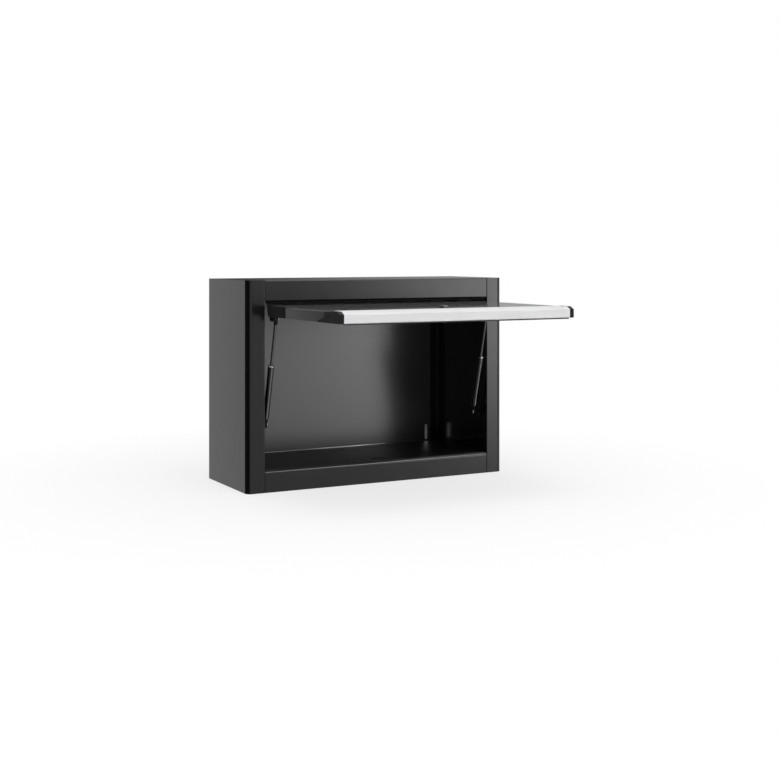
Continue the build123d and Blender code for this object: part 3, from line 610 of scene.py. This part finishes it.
def add_plate_screws():
    """Button-head screws above and below the lower studs, and beside the upper ones."""
    bpy.ops.object.select_all(action="DESELECT")
    bpy.ops.mesh.primitive_cylinder_add(vertices=24, radius=SCREW_RADIUS, depth=SCREW_HEIGHT,
                                        location=(0.0, 0.0, SCREW_HEIGHT / 2))
    bpy.ops.object.transform_apply(location=True, rotation=True, scale=True)
    screw = start_piece("plate_screw_pattern")
    pick_faces(screw, lambda middle, normal: normal.z > FACING)
    bpy.ops.mesh.inset(thickness=SCREW_RADIUS - SCREW_SOCKET)
    bpy.ops.mesh.extrude_region_move(TRANSFORM_OT_translate={"value": (0.0, 0.0, -SCREW_SOCKET_DEPTH)})
    pick_edges(screw, lambda end: math.hypot(end.x, end.y) > SCREW_RADIUS - TOUCH
               and end.z > SCREW_HEIGHT - TOUCH)
    bpy.ops.mesh.bevel(offset=SCREW_ROUNDING, segments=ROUNDING_STEPS, affect="EDGES")
    end_piece(screw)
    for name, side in (("left", -1), ("right", 1)):
        turn = Matrix.Rotation(math.radians(-90 * side), 4, "Y")
        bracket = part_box(f"{name}_strut_bracket")
        plate_face = side * (max(abs(bracket[0][0]), abs(bracket[1][0])) - BRACKET_THICKNESS)
        for height, up in (("low", -1), ("high", 1)):
            place = Matrix.Translation((plate_face, STRUT_FOOT[1], STRUT_FOOT[2] + up * SCREW_SPACING))
            copy = copy_piece(screw, f"{name}_bracket_{height}_screw", place @ turn)
            finish_piece(copy, FINISHES["dark_steel"], "cabinet")
        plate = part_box(f"{name}_door_stud_plate")
        plate_face = side * (max(abs(plate[0][0]), abs(plate[1][0])) - STUD_PLATE_THICKNESS)
        middle_y = (plate[0][1] + plate[1][1]) / 2
        middle_z = (plate[0][2] + plate[1][2]) / 2
        for where, along in (("front", -1), ("rear", 1)):
            place = Matrix.Translation((plate_face, middle_y + along * SCREW_SPACING, middle_z))
            copy = copy_piece(screw, f"{name}_stud_plate_{where}_screw", place @ turn)
            finish_piece(copy, FINISHES["dark_steel"], "door")
    drop_pattern(screw)


def add_lock_ring():
    """Thin rubber ring round the foot of the lock's bezel."""
    ring = add_ring("lock_ring", LOCK_RING_RADIUS, LOCK_RING_HOLE, LOCK_RING_HEIGHT, LOCK_RING_ROUNDING)
    end_piece(ring, Matrix.Translation(LOCK_PLACE))
    finish_piece(ring, RUBBER, "door")


def add_corner_strip():
    """Plated quarter-round strip over the joint of floor and back, with drawn-in ends."""
    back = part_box("back_panel")
    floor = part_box("floor_panel")
    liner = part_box("left_side_liner")
    length = 2 * abs(liner[1][0]) - CORNER_STRIP_SHORTER
    corner = (0.0, back[0][1], floor[1][2])
    bpy.ops.object.select_all(action="DESELECT")
    bpy.ops.mesh.primitive_cylinder_add(vertices=32, radius=CORNER_STRIP_RADIUS, depth=length,
                                        location=corner, rotation=(0.0, math.radians(90), 0.0))
    bpy.ops.object.transform_apply(location=True, rotation=True, scale=True)
    strip = start_piece("corner_strip")
    bpy.ops.mesh.select_all(action="SELECT")
    bpy.ops.mesh.bisect(plane_co=(0.0, corner[1] - CORNER_STRIP_GAP, 0.0), plane_no=(0.0, 1.0, 0.0),
                        use_fill=True, clear_outer=True)
    bpy.ops.mesh.select_all(action="SELECT")
    bpy.ops.mesh.bisect(plane_co=(0.0, 0.0, corner[2] + CORNER_STRIP_GAP), plane_no=(0.0, 0.0, -1.0),
                        use_fill=True, clear_outer=True)
    pick_faces(strip, lambda middle, normal: abs(normal.x) > FACING)
    bpy.ops.mesh.inset(thickness=CORNER_STRIP_END_INSET, depth=CORNER_STRIP_END_DEPTH)
    end_piece(strip)
    finish_piece(strip, FINISHES["zinc_steel"], "cabinet")


def add_handle_strip():
    """Black rubber strip under the front edge of the handle, on which the closed door rests."""
    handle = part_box("handle_profile")
    size = (handle[1][0] - handle[0][0] - HANDLE_STRIP_SHORTER, HANDLE_STRIP_WIDTH, HANDLE_STRIP_HEIGHT)
    middle = (0.0, handle[0][1] + HANDLE_STRIP_SETBACK + HANDLE_STRIP_WIDTH / 2,
              handle[0][2] - HANDLE_STRIP_HEIGHT / 2)
    bpy.ops.object.select_all(action="DESELECT")
    bpy.ops.mesh.primitive_cube_add(size=1.0, location=middle, scale=size)
    bpy.ops.object.transform_apply(location=True, rotation=True, scale=True)
    strip = start_piece("handle_strip")
    low = middle[2] - HANDLE_STRIP_HEIGHT / 2
    pick_edges(strip, lambda end: end.z < low + TOUCH)
    bpy.ops.mesh.bevel(offset=HANDLE_STRIP_ROUNDING, segments=ROUNDING_STEPS, affect="EDGES")
    end_piece(strip)
    finish_piece(strip, RUBBER, "door")


# Studio


def floor_material():
    """Pale floor that keeps the shadow near the cabinet and runs out to white further away."""
    material, tree, shader, place = new_material("pale_floor", FLOOR_COLOR, 0.6)
    shader.inputs["Specular IOR Level"].default_value = 0.0
    cloud = noise(tree, place, 0.6, 2.0)
    tree.links.new(tint(tree, cloud, (0.92, 0.92, 0.92), (0.94, 0.94, 0.94)), shader.inputs["Base Color"])
    white = tree.nodes.new("ShaderNodeEmission")
    rays = tree.nodes.new("ShaderNodeLightPath")
    distance = tree.nodes.new("ShaderNodeVectorMath")
    distance.operation = "LENGTH"
    tree.links.new(place, distance.inputs[0])
    edge = tree.nodes.new("ShaderNodeMapRange")
    edge.interpolation_type = "SMOOTHSTEP"
    edge.inputs["From Min"].default_value = SHADOW_NEAR
    edge.inputs["From Max"].default_value = SHADOW_FAR
    edge.inputs["To Min"].default_value = NEAR_WHITE
    tree.links.new(distance.outputs["Value"], edge.inputs["Value"])
    seen = combine(tree, "MULTIPLY", edge.outputs["Result"], rays.outputs["Is Camera Ray"])
    mix = tree.nodes.new("ShaderNodeMixShader")
    tree.links.new(seen, mix.inputs["Fac"])
    tree.links.new(shader.outputs[0], mix.inputs[1])
    tree.links.new(white.outputs[0], mix.inputs[2])
    tree.links.new(mix.outputs[0], tree.nodes["Material Output"].inputs["Surface"])
    return material


def add_floor():
    """A wide floor under the cabinet's base."""
    bpy.ops.mesh.primitive_plane_add(size=FLOOR_SIZE, location=(0.0, 0.0, cad_box[0][2] - FLOOR_GAP))
    floor = bpy.context.object
    floor.name = "studio_floor"
    floor.data.materials.append(floor_material())
    floor.visible_glossy = False


def painted_shade_wall_material():
    """A sheet glowing a grey of painted shade, seen from the front only, and glowing brighter in reflections
    as painted reflection.
    """
    material, tree, shader, place = new_material("shaded_wall", (0.06, 0.06, 0.06), 0.8)
    shader.inputs["Specular IOR Level"].default_value = 0.0
    cloud = noise(tree, place, 30.0, 3.0)
    # Painted shade: the grey that the sheet glows without any lamp.
    painted_shade_grey = tint(tree, cloud, (0.034, 0.034, 0.034), (0.046, 0.046, 0.046))
    tree.links.new(painted_shade_grey, shader.inputs["Emission Color"])
    # Painted reflection: glossy rays see the sheet glow brighter.
    rays = tree.nodes.new("ShaderNodeLightPath")
    strength = tree.nodes.new("ShaderNodeMapRange")
    strength.inputs["To Min"].default_value = 1.0
    strength.inputs["To Max"].default_value = WALL_PAINTED_REFLECTION
    tree.links.new(rays.outputs["Is Glossy Ray"], strength.inputs["Value"])
    tree.links.new(strength.outputs["Result"], shader.inputs["Emission Strength"])
    clear = tree.nodes.new("ShaderNodeBsdfTransparent")
    side = tree.nodes.new("ShaderNodeNewGeometry")
    mix = tree.nodes.new("ShaderNodeMixShader")
    tree.links.new(side.outputs["Backfacing"], mix.inputs["Fac"])
    tree.links.new(shader.outputs[0], mix.inputs[1])
    tree.links.new(clear.outputs[0], mix.inputs[2])
    tree.links.new(mix.outputs[0], tree.nodes["Material Output"].inputs["Surface"])
    return material


def add_painted_shade_wall():
    """A sheet of painted shade where a wall would be, just behind the cabinet's back and no larger than it.
    """
    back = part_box("back_panel")
    width = back[1][0] - back[0][0]
    height = back[1][2] - back[0][2]
    place = (0.0, cad_box[1][1] + WALL_GAP, (back[0][2] + back[1][2]) / 2)
    bpy.ops.mesh.primitive_plane_add(size=1.0, location=place, rotation=(math.radians(90), 0.0, 0.0))
    wall = bpy.context.object
    wall.name = "shaded_wall"
    wall.scale = (width - WALL_INSET, height - WALL_INSET, 1.0)
    wall.data.materials.append(painted_shade_wall_material())
    wall.visible_diffuse = False
    wall.visible_shadow = False


def lit_zone(tree, direction, zone):
    """How bright one lit wall is, seen in a direction."""
    towards, start, full, level = zone
    facing = tree.nodes.new("ShaderNodeVectorMath")
    facing.operation = "DOT_PRODUCT"
    facing.inputs[1].default_value = towards
    tree.links.new(direction, facing.inputs[0])
    light = tree.nodes.new("ShaderNodeMapRange")
    light.interpolation_type = "SMOOTHSTEP"
    light.inputs["From Min"].default_value = start
    light.inputs["From Max"].default_value = full
    light.inputs["To Max"].default_value = level
    tree.links.new(facing.outputs["Value"], light.inputs["Value"])
    return light.outputs["Result"]


def room_light(tree):
    """The room in reflections: dark, with lit walls, ceiling and ground and the glow of three small lamps."""
    direction = tree.nodes.new("ShaderNodeTexCoord").outputs["Generated"]
    level = tree.nodes.new("ShaderNodeVectorMath")
    level.operation = "MULTIPLY"
    level.inputs[1].default_value = (1.0, 1.0, 0.0)
    tree.links.new(direction, level.inputs[0])
    compass = tree.nodes.new("ShaderNodeVectorMath")
    compass.operation = "NORMALIZE"
    tree.links.new(level.outputs["Vector"], compass.inputs[0])
    light = lit_zone(tree, direction, CEILING)
    light = combine(tree, "MAXIMUM", light, lit_zone(tree, direction, GROUND))
    for wall in LIT_WALLS:
        light = combine(tree, "MAXIMUM", light, lit_zone(tree, compass.outputs["Vector"], wall))
    for glow in (SIDE_GLOW, HIGH_GLOW, LOW_GLOW):
        light = combine(tree, "ADD", light, lit_zone(tree, direction, glow))
    dim = tree.nodes.new("ShaderNodeMath")
    dim.operation = "ADD"
    dim.inputs[1].default_value = ROOM_LEVEL
    tree.links.new(light, dim.inputs[0])
    return dim.outputs[0]


def add_world():
    """White for the camera, the half-lit room for reflections, and an even fill for the rest."""
    world = bpy.data.worlds.new("studio")
    bpy.context.scene.world = world
    world.use_nodes = True
    tree = world.node_tree
    tree.nodes.clear()
    fill = tree.nodes.new("ShaderNodeBackground")
    fill.inputs["Color"].default_value = (1.0, 1.0, 1.0, 1.0)
    fill.inputs["Strength"].default_value = FILL_STRENGTH
    room = tree.nodes.new("ShaderNodeBackground")
    room.inputs["Color"].default_value = (1.0, 1.0, 1.0, 1.0)
    tree.links.new(room_light(tree), room.inputs["Strength"])
    white = tree.nodes.new("ShaderNodeBackground")
    white.inputs["Color"].default_value = (1.0, 1.0, 1.0, 1.0)
    rays = tree.nodes.new("ShaderNodeLightPath")
    mirrored = combine(tree, "MAXIMUM", rays.outputs["Is Glossy Ray"], rays.outputs["Is Transmission Ray"])
    light = tree.nodes.new("ShaderNodeMixShader")
    tree.links.new(mirrored, light.inputs["Fac"])
    tree.links.new(fill.outputs[0], light.inputs[1])
    tree.links.new(room.outputs[0], light.inputs[2])
    backdrop = tree.nodes.new("ShaderNodeMixShader")
    tree.links.new(rays.outputs["Is Camera Ray"], backdrop.inputs["Fac"])
    tree.links.new(light.outputs[0], backdrop.inputs[1])
    tree.links.new(white.outputs[0], backdrop.inputs[2])
    output = tree.nodes.new("ShaderNodeOutputWorld")
    tree.links.new(backdrop.outputs[0], output.inputs["Surface"])


def add_softbox(name, place, aim, width, height, power):
    """A rectangular soft light that faces a point, brightest in its middle."""
    light = bpy.data.lights.new(name, "AREA")
    light.shape = "RECTANGLE"
    light.size = width
    light.size_y = height
    light.energy = power
    light.use_nodes = True
    tree = light.node_tree
    geometry = tree.nodes.new("ShaderNodeNewGeometry")
    middle = tree.nodes.new("ShaderNodeVectorMath")
    middle.operation = "DISTANCE"
    middle.inputs[1].default_value = (0.5, 0.5, 0.0)
    tree.links.new(geometry.outputs["Parametric"], middle.inputs[0])
    glow = tree.nodes.new("ShaderNodeMapRange")
    glow.interpolation_type = "SMOOTHSTEP"
    glow.inputs["From Min"].default_value = 0.5
    glow.inputs["From Max"].default_value = 0.0
    tree.links.new(middle.outputs["Value"], glow.inputs["Value"])
    tree.links.new(glow.outputs["Result"], tree.nodes["Emission"].inputs["Strength"])
    box = bpy.data.objects.new(name, light)
    bpy.context.scene.collection.objects.link(box)
    box.location = place
    box.rotation_euler = (Vector(aim) - Vector(place)).to_track_quat("-Z", "Y").to_euler()
    box.visible_camera = False
    box.visible_glossy = False


def add_camera():
    """The camera of the photograph: level, turned to the right, with its picture shifted down."""
    lens = bpy.data.cameras.new("photo_camera")
    lens.sensor_width = SENSOR
    lens.lens = FOCAL_PIXELS * SENSOR / PICTURE_HEIGHT
    lens.shift_y = -(PICTURE_HEIGHT / 2 - HORIZON_PIXEL) / PICTURE_HEIGHT
    camera = bpy.data.objects.new("photo_camera", lens)
    bpy.context.scene.collection.objects.link(camera)
    camera.location = CAMERA_PLACE
    camera.rotation_euler = (math.radians(90), 0.0, math.radians(-CAMERA_YAW))
    bpy.context.scene.camera = camera


bpy.ops.object.select_all(action="DESELECT")
dress_nodes()
add_tube_lips()
add_socket_clips()
add_plate_screws()
add_lock_ring()
add_corner_strip()
add_handle_strip()
add_floor()
add_painted_shade_wall()
add_world()
add_softbox("right_softbox", *RIGHT_SOFTBOX)
add_softbox("top_softbox", *TOP_SOFTBOX)
add_camera()

bpy.context.scene.view_settings.view_transform = "Standard"
